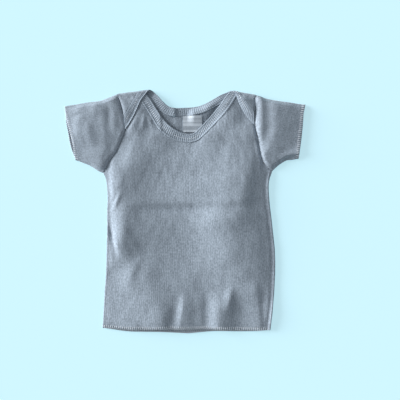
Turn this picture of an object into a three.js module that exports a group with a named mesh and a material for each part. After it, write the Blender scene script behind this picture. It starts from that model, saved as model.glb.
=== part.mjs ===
// A short-sleeved baby top in fine rib knit, with an envelope neck, laid flat with its front up.
//
// Millimetres, +Z up. The back panel lies on z = 0, +Y points from the hem to the neck and +X to
// the right of the top as it lies. Four layers of cloth meet at each shoulder: the back panel,
// the end of the front's neck that is tucked under, the front panel, and the back's lap over it.
import * as THREE from "three";

// ---- Driving sizes, in mm ----
const CLOTH = 1.2; // wall of one layer of rib knit
const GAP = 0.3; // air between pieces that meet at a seam or lie on each other
const LAYER = CLOTH + GAP;
const BAND_START = 0.5; // along a row, from a neck seam to its band: a row crosses the seam at a slant
const FOLD_LEVEL = 2 * LAYER - GAP / 2; // height of the axis that both shoulder folds turn round
const LABEL_WALL = 1.0;
const SLEEVE_SHOULDER = 5.1; // height of a flattened sleeve where it joins the shoulder
const SLEEVE_CUFF = 2.9; // height of a flattened sleeve at its cuff
const HEM_REACH = 0.4; // how far up the body, as a part of it, the hem's own line still shows
const LIFT_FROM = 74; // the front rises off the back between these two heights up the top,
const LIFT_TO = 90; // to make room for what is tucked under it at the shoulders

// ---- Numbers of steps in the cloth grids ----
const ROWS = { body: 20, yoke: 5, neck: 11, turn: 6, lap: 4 };
const BACK_BODY_ROWS = 12;
const FRONT_COLUMNS = 10; // from a side to the middle
const BACK_COLUMNS = 5;
const BAND_COLUMNS = 2;
const SLEEVE_RINGS = 7;
const SLEEVE_TURN = 4; // steps round each folded edge of a sleeve
const LABEL_COLUMNS = 3;

// ---- The outline, each point [x, y] in mm ----
const SIDE_LEFT = [[-94.5, -133.2], [-92.6, -98], [-90.6, -68], [-89.6, -30], [-89.4, 0], [-88.8, 18],
  [-90.6, 36], [-93.5, 43.9]];
const SIDE_RIGHT = [[98.2, -135.6], [101.3, -106], [103.4, -72], [103.2, -46], [100.2, -16], [96.8, 14],
  [96.3, 33], [99.6, 45.6]];

// Each shoulder fold runs inwards from the end at the armhole.
const FOLD_LEFT = { from: [-76.4, 132.3], to: [-39.4, 136.9] };
const FOLD_RIGHT = { from: [80.4, 131.1], to: [54.7, 135.5] };

// A half panel has its outer edge (side, then armhole up to the fold), its inner edge (hem and
// low points of the middle, then the neck seam up to the fold) and the free edge of the neck
// band. Past the fold the same edges go on as the lap. turn gives, for each edge, how far along
// the fold it enters and leaves the turn.
const FRONT_LEFT = {
  fold: FOLD_LEFT, side: SIDE_LEFT, low: [6, 78.6], lowEdge: [6, 88.2],
  hem: [[-94.5, -133.2], [-82, -134.1], [-60, -134.6], [-28, -134.2], [3.5, -134.6]],
  armhole: [[-93.5, 43.9], [-87.5, 56], [-78.7, 69], [-73.2, 81.2], [-68.2, 96], [-69.8, 109.4],
    [-73.4, 120.5]],
  seam: [[6, 78.6], [-6, 80], [-15.5, 83.5], [-24, 89], [-31, 95.8], [-37.5, 106.5], [-43.5, 116.5],
    [-50, 126]],
  edge: [[6, 88.2], [-3, 89.8], [-11.5, 93.8], [-18.6, 99], [-25, 106], [-31.6, 115.6], [-37.4, 125],
    [-42, 131]],
  turn: { outer: [0, 0], seam: [21.1, 19], edge: [30.8, 29.3] },
  lapOuter: [[-76, 120], [-76, 112.6]],
  lapSeam: [[-63, 126], [-69.5, 117.5], [-75.2, 111.7]],
  lapEdge: [[-54.5, 125.5], [-61.5, 115.5], [-68.5, 107], [-75.6, 98.5]],
};
const FRONT_RIGHT = {
  fold: FOLD_RIGHT, side: SIDE_RIGHT, low: [6, 78.6], lowEdge: [6, 88.2],
  hem: [[98.2, -135.6], [84, -136], [58, -135.4], [30, -134.2], [3.5, -134.6]],
  armhole: [[99.6, 45.6], [95.2, 50.3], [90.2, 56.4], [86.6, 66.9], [83.6, 83.4], [81, 96.1], [79.6, 109.5],
    [79.6, 120.9]],
  seam: [[6, 78.6], [14.5, 81], [22, 87], [29.6, 94.5], [36.5, 101.8], [43, 108.7], [49, 115.8], [54.5, 124]],
  edge: [[6, 88.2], [11.8, 90.4], [17.2, 95.8], [23, 101.8], [30, 109.4], [36, 116.6], [41.3, 123.2],
    [46, 130.5]],
  turn: { outer: [0, 0], seam: [20.2, 18.4], edge: [30.3, 28.3] },
  lapOuter: [[80.6, 120], [80.6, 112.8]],
  lapSeam: [[68.5, 125.5], [75, 117.5], [79.9, 112.2]],
  lapEdge: [[60.5, 125.5], [66.5, 115.5], [73.5, 107], [80.2, 98.5]],
};
const BACK_LEFT = {
  fold: FOLD_LEFT, side: SIDE_LEFT, low: [1, 109.5], lowEdge: [1, 119],
  hem: [[-94.5, -133.2], [-82, -135.2], [-63, -137.6], [-30, -138.2], [3.5, -139.7]],
  armhole: [[-93.5, 43.9], [-88, 57.5], [-83.5, 72], [-79.5, 86], [-76.9, 104], [-76.2, 118]],
  seam: [[1, 109.5], [-8, 109.2], [-15.5, 109.2], [-22.8, 111.4], [-30, 117], [-38.3, 125.6]],
  edge: [[1, 119], [-7, 118.6], [-12.8, 118.6], [-18.6, 120.2], [-24.4, 125], [-30.2, 131.4]],
  turn: { outer: [0, 0], seam: [28.9, 22.3], edge: [40.5, 33.8] },
  lapOuter: [[-73.2, 123.5], [-70.6, 115], [-69.9, 109.8]],
  lapSeam: [[-59.5, 126], [-65, 116.5], [-69.1, 109.3]],
  lapEdge: [[-49.5, 128], [-54.5, 117.5], [-59, 108], [-63.3, 100.6], [-67.8, 94.2]],
};
const BACK_RIGHT = {
  fold: FOLD_RIGHT, side: SIDE_RIGHT, low: [1, 109.5], lowEdge: [1, 119],
  hem: [[98.2, -135.6], [84, -137], [58, -137.4], [32, -137.2], [3.5, -139.7]],
  armhole: [[99.6, 45.6], [93, 58], [88, 72], [84, 87], [81.4, 104], [80.6, 118]],
  seam: [[1, 109.5], [10.5, 110.2], [19.5, 112.2], [28.5, 116], [37.5, 121], [47, 127.8]],
  edge: [[1, 119], [9, 119.6], [16.5, 121], [24.5, 124.2], [32.4, 128.8], [40.4, 133.4]],
  turn: { outer: [0, 0], seam: [24.2, 16], edge: [32.4, 23.1] },
  lapOuter: [[79.8, 122.5], [79.5, 115.2]],
  lapSeam: [[67.6, 128.6], [72.3, 122.4], [78.8, 114.8]],
  lapEdge: [[59, 130.6], [62, 122.4], [66.6, 113.6], [71.3, 107], [79.8, 98.2]],
};

// A sleeve is a flattened tube. Its folded edges run from the armhole to the cuff.
const SLEEVE_LEFT = {
  out: -1,
  top: [[-76.8, 132.3], [-84, 129.4], [-91, 126.7], [-98, 124.7], [-111.6, 123.2], [-125.4, 121.2],
    [-137.6, 119.4]],
  bottom: [[-93.9, 45.3], [-98.5, 46.9], [-105, 51.3], [-114, 55.9], [-125.6, 60.2]],
  cuffOver: [[-137.6, 119.4], [-135.2, 105.2], [-132.2, 93.7], [-128.4, 78], [-125.6, 60.2]],
  cuffUnder: [[-137.6, 119.4], [-136.5, 105.2], [-134.6, 93.7], [-131.1, 75.3], [-125.6, 60.2]],
};
const SLEEVE_RIGHT = {
  out: 1,
  top: [[80.8, 131.1], [86.3, 129.7], [92, 127.4], [98.9, 126.2], [110, 124.6], [123, 123.1], [137.6, 121.1]],
  bottom: [[100, 47], [104.5, 51.5], [110, 56], [116.5, 59.6], [124.2, 60.7], [130.4, 61.9]],
  cuffOver: [[137.6, 121.1], [135.6, 112], [134.8, 103], [133.2, 90], [131.2, 74], [130.4, 61.9]],
  cuffUnder: [[137.6, 121.1], [136.1, 112], [135.6, 103], [134.4, 90], [132.4, 74], [130.4, 61.9]],
};

const LABEL_CORNERS = { left: -2.4, right: 19.4, bottom: 91, top: 108.8 };

// The largest soft folds of the front: the middle of each, its direction in degrees from +X, and
// how long, wide and high it is. The last row is the pressed crease across the middle.
const FRONT_FOLDS = [
  { x: -74, y: 2, turn: 93, length: 120, width: 13, rise: 1.5 },
  { x: -63, y: 70, turn: 55, length: 62, width: 11, rise: 1.2 },
  { x: 58, y: 28, turn: 97, length: 190, width: 24, rise: 1.7 },
  { x: 8, y: -60, turn: 90, length: 120, width: 30, rise: 1.0 },
  { x: -78, y: -118, turn: 88, length: 60, width: 14, rise: 1.1 },
  { x: -33, y: -120, turn: 96, length: 46, width: 11, rise: 1.3 },
  { x: -8, y: -122, turn: 90, length: 44, width: 7, rise: 1.5 },
  { x: 32, y: -118, turn: 86, length: 60, width: 13, rise: 1.8 },
  { x: 76, y: -116, turn: 82, length: 60, width: 12, rise: 1.6 },
  { x: 0, y: 5, turn: 2, length: 140, width: 8, rise: 0.7 },
];
const SLEEVE_FOLDS = [
  { x: -112, y: 78, turn: 150, length: 60, width: 11, rise: 0.9 },
  { x: -98, y: 104, turn: 100, length: 40, width: 8, rise: 0.8 },
  { x: 96, y: 98, turn: 95, length: 60, width: 9, rise: 0.9 },
  { x: 118, y: 90, turn: 80, length: 50, width: 12, rise: 0.8 },
];

// ---- Small helpers ----
const lerp = THREE.MathUtils.lerp;
const smooth = THREE.MathUtils.smoothstep;
const point = (pair) => new THREE.Vector2(pair[0], pair[1]);
const between = (a, b, t) => a.clone().lerp(b, t);

// A smooth curve through points, read at equal steps along its length.
function stations(points, steps) {
  const line = new THREE.SplineCurve(points);
  return Array.from({ length: steps + 1 }, (unused, i) => line.getPointAt(i / steps));
}

// How high a table of folds lifts the cloth at one place.
function foldRise(folds, x, y) {
  let rise = 0;
  for (const fold of folds) {
    const angle = THREE.MathUtils.degToRad(fold.turn);
    const along = (x - fold.x) * Math.cos(angle) + (y - fold.y) * Math.sin(angle);
    const across = (y - fold.y) * Math.cos(angle) - (x - fold.x) * Math.sin(angle);
    const reach = Math.min(1, Math.abs(along) / (fold.length / 2));
    rise += fold.rise * Math.exp(-((across / fold.width) ** 2)) * (1 - reach * reach * (3 - 2 * reach));
  }
  return rise;
}

// ---- Cloth as a wall between an under face and an over face ----
class Cloth {
  constructor() {
    this.under = [];
    this.over = [];
    this.faces = [];
    this.known = new Map();
  }

  // Adds a place {under, over}, or finds the one already there.
  place(pair) {
    const key = [...pair.under.toArray(), ...pair.over.toArray()].map((v) => v.toFixed(3)).join();
    if (!this.known.has(key)) {
      this.known.set(key, this.under.length);
      this.under.push(pair.under);
      this.over.push(pair.over);
    }
    return this.known.get(key);
  }

  // Adds a grid of places. Its columns run to the right of its rows, seen from the over face.
  grid(rows) {
    const ids = rows.map((row) => row.map((pair) => this.place(pair)));
    for (let i = 0; i + 1 < ids.length; i += 1) {
      for (let j = 0; j + 1 < ids[i].length; j += 1) {
        this.triangle(ids[i][j], ids[i][j + 1], ids[i + 1][j + 1]);
        this.triangle(ids[i][j], ids[i + 1][j + 1], ids[i + 1][j]);
      }
    }
  }

  triangle(a, b, c) {
    if (a !== b && b !== c && c !== a) {
      this.faces.push([a, b, c]);
    }
  }

  // Two triangles of the rim. They meet on the shorter diagonal, so that the rims of two pieces
  // that run along one seam twist the same way and stay apart.
  rim(from, to, count) {
    const rising = this.under[from].distanceTo(this.over[to]);
    const falling = this.under[to].distanceTo(this.over[from]);
    return rising <= falling
      ? [from, to, to + count, from, to + count, from + count]
      : [from, to, from + count, to, to + count, from + count];
  }

  // The closed wall: both faces, and a rim along every free edge.
  geometry() {
    const count = this.under.length;
    const index = [];
    const edges = new Set(this.faces.flatMap(([a, b, c]) => [`${a},${b}`, `${b},${c}`, `${c},${a}`]));
    for (const [a, b, c] of this.faces) {
      index.push(a + count, b + count, c + count, a, c, b);
      for (const [from, to] of [[a, b], [b, c], [c, a]]) {
        if (!edges.has(`${to},${from}`)) {
          index.push(...this.rim(from, to, count));
        }
      }
    }
    const geometry = new THREE.BufferGeometry();
    const places = [...this.under, ...this.over].flatMap((place) => place.toArray());
    geometry.setAttribute("position", new THREE.Float32BufferAttribute(places, 3));
    geometry.setIndex(index);
    geometry.computeVertexNormals();
    return geometry;
  }
}

// ---- How each panel lies ----
// base(x, y) is the height of the panel's under face. The front turns down round a shoulder fold
// with its over face outside, and the back turns up round it with its under face outside.
const frontBase = (x, y) => LAYER + LAYER * smooth(y, LIFT_FROM, LIFT_TO);
const LIE = {
  front: { base: frontBase, nearAxis: GAP / 2, side: 1 },
  back: { base: () => 0, nearAxis: CLOTH + GAP * 1.5, side: -1 },
};

// A place by its plan point and the heights of its under face and over face.
const levels = (at, under, over) => ({
  under: new THREE.Vector3(at.x, at.y, under), over: new THREE.Vector3(at.x, at.y, over),
});

// A place that lies flat, lifted by the folds.
function flatPlace(lie, at, rise) {
  const low = lie.base(at.x, at.y) + rise;
  return levels(at, low, low + CLOTH);
}

// A place turned by an angle round a shoulder fold, a distance along it.
function turnedPlace(lie, fold, along, angle) {
  const from = point(fold.from);
  const direction = point(fold.to).sub(from).normalize();
  const outward = new THREE.Vector2(-direction.y, direction.x);
  outward.multiplyScalar(Math.sign(outward.y));
  const axis = from.addScaledVector(direction, along);
  const at = (radius) => {
    const plan = axis.clone().addScaledVector(outward, radius * Math.sin(angle));
    return new THREE.Vector3(plan.x, plan.y, FOLD_LEVEL + lie.side * radius * Math.cos(angle));
  };
  const near = at(lie.nearAxis);
  const far = at(lie.nearAxis + CLOTH);
  return lie.side > 0 ? { under: near, over: far } : { under: far, over: near };
}

// A place on the layer past the fold, which lies the other way up.
function lappedPlace(lie, at) {
  const near = FOLD_LEVEL - lie.side * lie.nearAxis;
  const far = FOLD_LEVEL - lie.side * (lie.nearAxis + CLOTH);
  return lie.side > 0 ? levels(at, near, far) : levels(at, far, near);
}

// The edges of the upper part of a half panel. Each has its points up to the fold, where it enters
// and leaves the turn, its points on the lap, and its number of steps up to the fold.
const EDGES = {
  outer: (half) => ({
    line: half.armhole, turn: half.turn.outer, lap: half.lapOuter, steps: ROWS.yoke + ROWS.neck,
  }),
  seam: (half) => ({ line: half.seam, turn: half.turn.seam, lap: half.lapSeam, steps: ROWS.neck }),
  edge: (half) => ({ line: half.edge, turn: half.turn.edge, lap: half.lapEdge, steps: ROWS.neck }),
};

// The rows of places between two edges of a half panel, up from its low point and over the fold.
// across lists where the columns lie: 0 on the first edge and 1 on the second.
function upperRows(half, lie, firstName, secondName, across, liftAt) {
  const [first, second] = [EDGES[firstName](half), EDGES[secondName](half)];
  const foldPoint = (along) => {
    const from = point(half.fold.from);
    return from.addScaledVector(point(half.fold.to).sub(from).normalize(), along);
  };
  const flat = [first, second].map((edge) => edge.line.map(point).concat(foldPoint(edge.turn[0])));
  const laps = [first, second].map((edge) => [foldPoint(edge.turn[1])].concat(edge.lap.map(point)));
  const [firstFlat, secondFlat] = [stations(flat[0], first.steps), stations(flat[1], second.steps)];
  const [firstLap, secondLap] = laps.map((points) => stations(points, ROWS.lap));
  const rows = firstFlat.slice(first.steps - ROWS.neck).map((start, i) => across.map((t) => {
    const at = between(start, secondFlat[i + second.steps - ROWS.neck], t);
    return flatPlace(lie, at, liftAt(t, at));
  }));
  for (let i = 1; i <= ROWS.turn; i += 1) {
    const part = i / ROWS.turn;
    const [a, b] = [first, second].map((edge) => lerp(edge.turn[0], edge.turn[1], part));
    rows.push(across.map((t) => turnedPlace(lie, half.fold, lerp(a, b, t), Math.PI * part)));
  }
  for (let i = 1; i <= ROWS.lap; i += 1) {
    rows.push(across.map((t) => lappedPlace(lie, between(firstLap[i], secondLap[i], t))));
  }
  return rows;
}

const steps = (from, to, count) => (
  Array.from({ length: count + 1 }, (unused, i) => lerp(from, to, i / count))
);
const turnedRound = (rows) => rows.map((row) => [...row].reverse());

// The armhole edge of a half panel, in as many steps as its yoke and neck have rows.
function armholeStations(half) {
  return stations([...half.armhole, half.fold.from].map(point), ROWS.yoke + ROWS.neck);
}

// One half of the front or the back, from the hem to the end of its lap.
function halfPanel(half, lie, bodyRows, columns, folds) {
  const across = steps(0, 1, columns);
  const taper = (t, y) => smooth(t, 0, 0.22) * (1 - smooth(y, LIFT_FROM - 6, LIFT_TO - 8));
  const liftAt = (t, at) => foldRise(folds, at.x, at.y) * taper(t, at.y);
  const hemLine = stations(half.hem.map(point), columns);
  const [corner, hem, low] = [hemLine[0], hemLine[columns], point(half.low)];
  const row = (outer, inner, hemPull = 0) => across.map((t, j) => {
    const sag = hemLine[j].clone().sub(between(corner, hem, t));
    const at = between(outer, inner, t).addScaledVector(sag, hemPull);
    return flatPlace(lie, at, liftAt(t, at));
  });
  const side = stations(half.side.map(point), bodyRows);
  const armhole = armholeStations(half);
  const armpitLevel = lerp(hem.y, low.y, bodyRows / (bodyRows + ROWS.yoke));
  const middle = (y) => new THREE.Vector2(lerp(hem.x, low.x, (y - hem.y) / (low.y - hem.y)), y);
  const rows = side.map((at, i) => {
    const up = i / bodyRows;
    return row(at, middle(lerp(hem.y, armpitLevel, up)), 1 - smooth(up, 0, HEM_REACH));
  });
  for (let i = 1; i < ROWS.yoke; i += 1) {
    rows.push(row(armhole[i], middle(lerp(armpitLevel, low.y, i / ROWS.yoke))));
  }
  return rows.concat(upperRows(half, lie, "outer", "seam", across, liftAt));
}

// One half of a neck band, from the middle of the neck to the end of the lap.
function halfBand(half, lie) {
  const width = Math.hypot(half.lowEdge[0] - half.low[0], half.lowEdge[1] - half.low[1]);
  const across = steps(BAND_START / width, 1, BAND_COLUMNS);
  return upperRows(half, lie, "seam", "edge", across, () => 0);
}

function panel(left, right, lie, bodyRows, columns, folds) {
  const cloth = new Cloth();
  cloth.grid(halfPanel(left, lie, bodyRows, columns, folds));
  cloth.grid(turnedRound(halfPanel(right, lie, bodyRows, columns, folds)));
  return cloth.geometry();
}

function band(left, right, lie) {
  const cloth = new Cloth();
  cloth.grid(halfBand(left, lie));
  cloth.grid(turnedRound(halfBand(right, lie)));
  return cloth.geometry();
}

// ---- Sleeves ----
// One face of a sleeve, as a grid between its seam at the armhole, its cuff and its folded edges.
function sleeveFace(seam, cuff, top, bottom) {
  const last = seam.length - 1;
  return top.map((topPoint, k) => seam.map((seamPoint, j) => {
    const [t, v] = [k / SLEEVE_RINGS, j / last];
    const alongCuff = between(seamPoint, cuff[j], t);
    const alongFolds = between(topPoint, bottom[k], v);
    const nearEnd = between(seam[0], cuff[0], t);
    const farEnd = between(seam[last], cuff[last], t);
    return alongCuff.add(alongFolds).sub(between(nearEnd, farEnd, v));
  }));
}

// The places round a folded edge of a sleeve, from its under layer to its over layer.
function sleeveTurn(axis, outward, height) {
  const radius = height / 2;
  return steps(0, Math.PI, SLEEVE_TURN).map((angle) => {
    const at = (r) => {
      const plan = axis.clone().addScaledVector(outward, r * Math.sin(angle));
      return new THREE.Vector3(plan.x, plan.y, radius - r * Math.cos(angle));
    };
    return { under: at(radius - CLOTH), over: at(radius) };
  });
}

function sleeve(spec, front, back) {
  const clear = new THREE.Vector2(spec.out * (GAP + 0.1), 0);
  const [frontSeam, backSeam] = [front, back].map((half) => armholeStations(half).reverse());
  for (const seam of [frontSeam, backSeam]) {
    seam.forEach((at) => at.add(clear));
    seam[0].copy(point(spec.top[0]));
    seam[seam.length - 1].copy(point(spec.bottom[0]));
  }
  const last = frontSeam.length - 1;
  const [top, bottom] = [spec.top, spec.bottom].map((edge) => stations(edge.map(point), SLEEVE_RINGS));
  const cuffs = [spec.cuffOver, spec.cuffUnder];
  const [cuffOver, cuffUnder] = cuffs.map((cuff) => stations(cuff.map(point), last));
  const over = sleeveFace(frontSeam, cuffOver, top, bottom);
  const under = sleeveFace(backSeam, cuffUnder, top, bottom);

  const heightAt = (t, at) => {
    const shoulder = lerp(2 * LAYER - GAP, SLEEVE_SHOULDER, smooth(at.y, LIFT_FROM, LIFT_TO));
    return lerp(shoulder, SLEEVE_CUFF, t);
  };
  const rows = over.map((line, k) => {
    const t = k / SLEEVE_RINGS;
    const overPlaces = line.map((at, j) => {
      const rise = foldRise(SLEEVE_FOLDS, at.x, at.y) * Math.sin(Math.PI * j / last) * smooth(t, 0, 0.25);
      const high = heightAt(t, at) + rise;
      return levels(at, high - CLOTH, high);
    });
    const underPlaces = under[k].map((at) => levels(at, CLOTH, 0));
    const outward = (edge, sign) => {
      const [before, after] = [edge[Math.max(k - 1, 0)], edge[Math.min(k + 1, SLEEVE_RINGS)]];
      const normal = new THREE.Vector2(before.y - after.y, after.x - before.x).normalize();
      return normal.multiplyScalar(sign * Math.sign(normal.y));
    };
    const topTurn = sleeveTurn(top[k], outward(top, 1), heightAt(t, top[k]));
    const bottomTurn = sleeveTurn(bottom[k], outward(bottom, -1), heightAt(t, bottom[k]));
    return [...overPlaces, ...[...bottomTurn].reverse().slice(1, -1), ...[...underPlaces].reverse(),
      ...topTurn.slice(1, -1), overPlaces[0]];
  });
  const cloth = new Cloth();
  cloth.grid(spec.out > 0 ? rows : turnedRound(rows));
  return cloth.geometry();
}

// ---- Label ----
function label() {
  const rows = steps(LABEL_CORNERS.bottom, LABEL_CORNERS.top, LABEL_COLUMNS).map((y) => (
    steps(LABEL_CORNERS.left, LABEL_CORNERS.right, LABEL_COLUMNS).map((x) => (
      levels(point([x, y]), LAYER, LAYER + LABEL_WALL)
    ))
  ));
  const cloth = new Cloth();
  cloth.grid(rows);
  return cloth.geometry();
}

// ---- The top ----
const cotton = (color) => new THREE.MeshStandardMaterial({ color, roughness: 0.95, metalness: 0 });

const BACK_COLOUR = 0x8b98a5; // the back, in the shade inside the neck
const RIB_COLOUR = 0x9aa7b4;
const BAND_COLOUR = 0xa6b3c0;
const LABEL_COLOUR = 0xc3cad0;

const front = panel(FRONT_LEFT, FRONT_RIGHT, LIE.front, ROWS.body, FRONT_COLUMNS, FRONT_FOLDS);
const back = panel(BACK_LEFT, BACK_RIGHT, LIE.back, BACK_BODY_ROWS, BACK_COLUMNS, []);
const PIECES = {
  back: [back, BACK_COLOUR],
  front: [front, RIB_COLOUR],
  sleeve_left: [sleeve(SLEEVE_LEFT, FRONT_LEFT, BACK_LEFT), RIB_COLOUR],
  sleeve_right: [sleeve(SLEEVE_RIGHT, FRONT_RIGHT, BACK_RIGHT), RIB_COLOUR],
  neck_binding_back: [band(BACK_LEFT, BACK_RIGHT, LIE.back), BAND_COLOUR],
  neck_binding_front: [band(FRONT_LEFT, FRONT_RIGHT, LIE.front), BAND_COLOUR],
  label: [label(), LABEL_COLOUR],
};

const top = new THREE.Group();
for (const [name, [geometry, color]] of Object.entries(PIECES)) {
  const mesh = new THREE.Mesh(geometry, cotton(color));
  mesh.name = name;
  top.add(mesh);
}

export default top;
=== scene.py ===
# %% [markdown]
# # A baby top in rib knit
# The real object is a short-sleeved cotton top with an envelope neck, laid flat with its front up.
# It has seven pieces: front, back, two sleeves, two neck bands and a label. Each one is cut flat,
# and then laid, folded or sewn. The lesson does the same: a flat sheet of ribs is cut to a pattern,
# carried to where it lies, and then given its wall.
# Measures here are in millimetres, and the frame is in metres.

# %% Load the fixed frame
import math
from functools import partial
import bpy
import numpy as np
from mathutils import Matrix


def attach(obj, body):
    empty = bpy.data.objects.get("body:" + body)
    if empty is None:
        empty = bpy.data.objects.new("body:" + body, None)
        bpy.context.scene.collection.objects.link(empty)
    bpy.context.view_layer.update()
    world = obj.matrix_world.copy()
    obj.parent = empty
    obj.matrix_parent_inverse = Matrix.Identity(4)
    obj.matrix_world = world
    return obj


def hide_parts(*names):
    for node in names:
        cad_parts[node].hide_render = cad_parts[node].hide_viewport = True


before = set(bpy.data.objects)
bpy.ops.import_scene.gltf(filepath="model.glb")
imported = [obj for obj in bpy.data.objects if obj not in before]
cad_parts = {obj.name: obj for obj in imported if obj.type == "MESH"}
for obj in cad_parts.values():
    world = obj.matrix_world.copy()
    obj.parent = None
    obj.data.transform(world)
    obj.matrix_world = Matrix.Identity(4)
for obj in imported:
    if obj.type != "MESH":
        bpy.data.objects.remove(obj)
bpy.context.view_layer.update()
bpy.ops.object.select_all(action="DESELECT")
MM = 0.001

# %% [markdown]
# ## Camera
# The top lies on a table and is seen from straight above. The camera could be raised very high
# with a long lens, but a normal lens gives the slight perspective of an eye above the table.

# %% Camera straight above
FRAME_WIDTH = 460
LOOK_AT = (17.25, 13.2)
LENS, SENSOR = 50, 36
height = FRAME_WIDTH * LENS / SENSOR
bpy.ops.object.camera_add(location=(LOOK_AT[0] * MM, LOOK_AT[1] * MM, height * MM), rotation=(0, 0, 0))
camera = bpy.context.object
camera.name = "camera"
camera.data.lens = LENS
camera.data.sensor_width = SENSOR
camera.data.clip_start = 0.01
bpy.context.scene.camera = camera
print("camera", round(height), "mm above the table")

# %% [markdown]
# ## Light
# Cloth shows its creases only where light grazes it. One low sun on the left gives each crease a
# light side and a dark side. It is as wide as a window, so that its shadows have soft edges, and
# an even sky fills the shade. Small lamps close by could do it too, but would light one end more.

# %% Low key light and even sky
bpy.context.scene.view_settings.view_transform = "Standard"
KEY_ELEVATION, KEY_AZIMUTH, KEY_SPREAD, KEY_STRENGTH = 13, 165, 32, 6.8
tilt = math.radians(90 - KEY_ELEVATION)
bpy.ops.object.light_add(type="SUN", rotation=(0, tilt, math.radians(KEY_AZIMUTH)))
key = bpy.context.object
key.name = "key_light"
key.data.energy = KEY_STRENGTH
key.data.angle = math.radians(KEY_SPREAD)
world = bpy.data.worlds.new("soft_studio")
bpy.context.scene.world = world
world.use_nodes = True
sky = world.node_tree.nodes["Background"].inputs
sky["Color"].default_value = (0.93, 0.97, 1.0, 1.0)
sky["Strength"].default_value = 0.38
print("key light", KEY_ELEVATION, "degrees up")

# %% [markdown]
# ## Colours and a helper for materials
# Colours are written in sRGB hex, as on a paint card, and turned to the shader's linear values.
# One helper adds a node with its settings and joins it to the others.

# %% Colour and node helpers
def colour(code):
    """An sRGB hex code as linear red, green, blue and alpha."""
    parts = [int(code[i:i + 2], 16) / 255 for i in (1, 3, 5)]
    return tuple(c / 12.92 if c <= 0.04045 else ((c + 0.055) / 1.055) ** 2.4 for c in parts) + (1.0,)


def add(material, kind, inputs=None, **settings):
    """Adds a node, sets it, and fills its inputs with values or with other nodes' outputs."""
    node = material.node_tree.nodes.new(kind)
    for name, value in settings.items():
        setattr(node, name, value)
    for name, value in (inputs or {}).items():
        if isinstance(value, bpy.types.NodeSocket):
            material.node_tree.links.new(value, node.inputs[name])
        else:
            node.inputs[name].default_value = value
    return node


def new_material(name, **shader):
    """A material whose surface is one principled shader with the given settings."""
    material = bpy.data.materials.new(name)
    material.use_nodes = True
    surface = material.node_tree.nodes["Principled BSDF"]
    for socket, value in shader.items():
        surface.inputs[socket.replace("_", " ")].default_value = value
    return material, surface


print("white is", [round(c, 2) for c in colour("#FFFFFF")])

# %% [markdown]
# ## Rib knit
# Cotton 1x1 rib knit: wales of plain loops stand up in ribs, with grooves between them. The real
# ribs are about 1.9 mm apart, and they are modelled in the cloth itself. The material adds what
# is finer: each rib's loops as small bumps, painted shade in the grooves between them, a grain of
# fibres, and faint streaks where the knitting is looser. It follows the cloth, because it reads a
# map of the flat cut. Loops are really 0.7 mm long and are drawn 0.95 mm long, so that they show.
# On a sleeve the grain is stretched across the ribs, and not along them.

# %% Rib knit material
RIB = 1.9
LOOP = 0.95
BODY_GRAIN = {"grain": 0.23, "fibres": (0.85, 0.42, 1.0), "streaks": (0.42, 0.12, 1.0)}
SLEEVE_GRAIN = {"grain": 0.23, "fibres": (0.6, 0.8, 1.0), "streaks": (0.12, 0.3, 1.0)}


def maths(material, operation, first, second=0.0):
    """One sum of two values or outputs."""
    return add(material, "ShaderNodeMath", {0: first, 1: second}, operation=operation).outputs[0]


def spots(material, cut, scale, detail):
    """Soft random spots over the flat cut, with so many to a millimetre in each direction."""
    spread = add(material, "ShaderNodeMapping", {"Vector": cut, "Scale": scale})
    noise = {"Vector": spread.outputs[0], "Scale": 1.0, "Detail": detail}
    return add(material, "ShaderNodeTexNoise", noise, noise_dimensions="2D").outputs["Fac"]


def blend(material, factor, first, second, **settings):
    """A mix of two colours."""
    sides = {"Factor": factor, "A": first, "B": second}
    return add(material, "ShaderNodeMix", sides, data_type="RGBA", **settings).outputs["Result"]


def rib_material(name, ridge, groove_shade, rib, grain, fibres, streaks):
    """Rib knit whose ribs run along the cut's Y and lie a given distance apart."""
    material, surface = new_material(name, Roughness=0.93, Specular_IOR_Level=0.12,
                                     Sheen_Weight=0.45, Sheen_Roughness=0.4)
    cut = add(material, "ShaderNodeUVMap", uv_map="cut").outputs["UV"]
    place = add(material, "ShaderNodeSeparateXYZ", {"Vector": cut}).outputs
    wale = maths(material, "MULTIPLY", place["X"], 2 * math.pi / rib)
    loop = maths(material, "MULTIPLY", place["Y"], 2 * math.pi / LOOP)
    stitch = maths(material, "SINE", maths(material, "ADD", wale, loop))
    fibre = spots(material, cut, fibres, 3.0)
    streak = spots(material, cut, streaks, 2.0)
    # Painted shade: the grooves between the ribs are painted darker, mixing in the groove colour.
    rise = maths(material, "COSINE", wale)
    depth = add(material, "ShaderNodeMapRange", {"Value": rise, "From Min": -1.0})
    groove_shaded_tone = blend(material, depth.outputs[0], colour(groove_shade), colour(ridge))
    shades = maths(material, "ADD", fibre, maths(material, "MULTIPLY", streak, 0.35))
    level = add(material, "ShaderNodeMapRange", {"Value": shades, "From Min": 0.475, "From Max": 0.875,
                                                 "To Min": 1 - grain, "To Max": 1 + grain})
    grain_and_groove_shade = blend(material, 1.0, groove_shaded_tone, level.outputs[0], blend_type="MULTIPLY")
    relief = maths(material, "ADD", stitch, fibre)
    bump = add(material, "ShaderNodeBump", {"Height": relief, "Strength": 0.35, "Distance": 0.0001})
    link = material.node_tree.links.new
    link(grain_and_groove_shade, surface.inputs["Base Color"])
    link(bump.outputs[0], surface.inputs["Normal"])
    print(name, len(material.node_tree.nodes), "nodes")
    return material


# Each knit's second colour is painted shade, for the grooves between its ribs.
rib_knit = rib_material("cotton_rib_knit", "#9BA7B4", "#929EAA", RIB, **BODY_GRAIN)
sleeve_knit = rib_material("cotton_rib_knit_sleeve", "#9AA6B3", "#94A0AC", RIB, **SLEEVE_GRAIN)
BAND_RIB = 2.3
BAND_GRAIN = {**BODY_GRAIN, "grain": 0.14}
rib_binding = rib_material("cotton_rib_binding", "#9FACB9", "#8A96A3", BAND_RIB, **BAND_GRAIN)

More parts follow.
